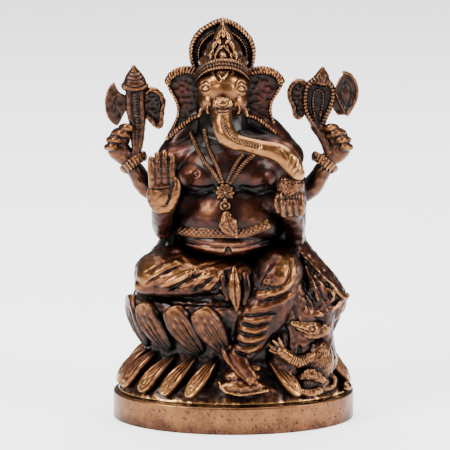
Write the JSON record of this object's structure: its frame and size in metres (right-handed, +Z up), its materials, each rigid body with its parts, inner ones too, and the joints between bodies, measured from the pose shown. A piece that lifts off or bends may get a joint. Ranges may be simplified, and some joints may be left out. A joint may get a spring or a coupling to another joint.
{
  "type": "seated elephant-headed deity statue",
  "caption": "Cast brass figurine of an elephant-headed deity with raised arms, seated on a tiered lotus and an oval plinth, with a mouse beside the seat.",
  "frame": {"origin": "middle of the plinth's underside, on the surface that the statue stands on", "axes": "+Z up, -Y to the front that the figure faces, +X to the figure's left hand"},
  "size_m": [0.1202, 0.074, 0.1896],
  "materials": {
    "plinth_brass": "filed and polished coppery brass with casting pits",
    "dark_brass": "near-black antique patina left in the hollows",
    "ruddy_brass": "half-polished brass under a red-brown lacquer",
    "petal_brass": "antique brass, rims rubbed bright, grooves black",
    "fold_brass": "antique brass, fold ridges rubbed bright",
    "bright_brass": "hand-polished yellow brass, engraved lines dark",
    "tool_brass": "antique brass, rubbed on the edges",
    "chased_brass": "hand-chased brass, beads bright, hollows black",
    "mouse_brass": "antique brass with chased fur strokes",
    "ear_brass": "antique brass, rolled rim bright, inside dark and punched"
  },
  "bodies": {
    "root": {"belly": "ruddy_brass", "belt": "chased_brass", "brow_disc": "bright_brass", "buckle": "chased_brass", "chest": "ruddy_brass", "crest": "chased_brass", "crown": "dark_brass", "crown_band": "chased_brass", "crown_halo": "dark_brass", "foot_petal": "fold_brass", "front_left_arm": "bright_brass", "front_left_hand": "bright_brass", "front_right_arm": "bright_brass", "front_right_hand": "bright_brass", "hanging_pleat": "fold_brass", "head": "bright_brass", "hip_sash": "ruddy_brass", "hips": "dark_brass", "left_axe": "tool_brass", "left_bracelet": "chased_brass", "left_ear": "ear_brass", "left_flange": "tool_brass", "left_foot": "fold_brass", "left_knee": "fold_brass", "left_noose": "tool_brass", "left_shin": "fold_brass", "left_tusk": "bright_brass", "lotus_core": "dark_brass", "lower_petal_1": "petal_brass", "lower_petal_2": "petal_brass", "lower_petal_3": "petal_brass", "lower_petal_4": "petal_brass", "lower_petal_5": "petal_brass", "lower_petals_back": "petal_brass", "mouse_arm": "mouse_brass", "mouse_body": "mouse_brass", "mouse_head": "mouse_brass", "neck": "dark_brass", "necklace": "chased_brass", "pendant": "chased_brass", "plinth": "plinth_brass", "rear_left_arm": "bright_brass", "rear_left_hand": "bright_brass", "rear_right_arm": "bright_brass", "rear_right_hand": "bright_brass", "right_axe": "tool_brass", "right_bracelet": "chased_brass", "right_ear": "ear_brass", "right_flange": "tool_brass", "right_leg": "fold_brass", "right_staff": "tool_brass", "right_tusk": "bright_brass", "sweet_ball": "bright_brass", "trunk": "bright_brass", "upper_petal_1": "petal_brass", "upper_petal_2": "petal_brass", "upper_petal_3": "petal_brass", "upper_petal_4": "petal_brass", "upper_petals_back": "petal_brass"}
  },
  "joints": []
}
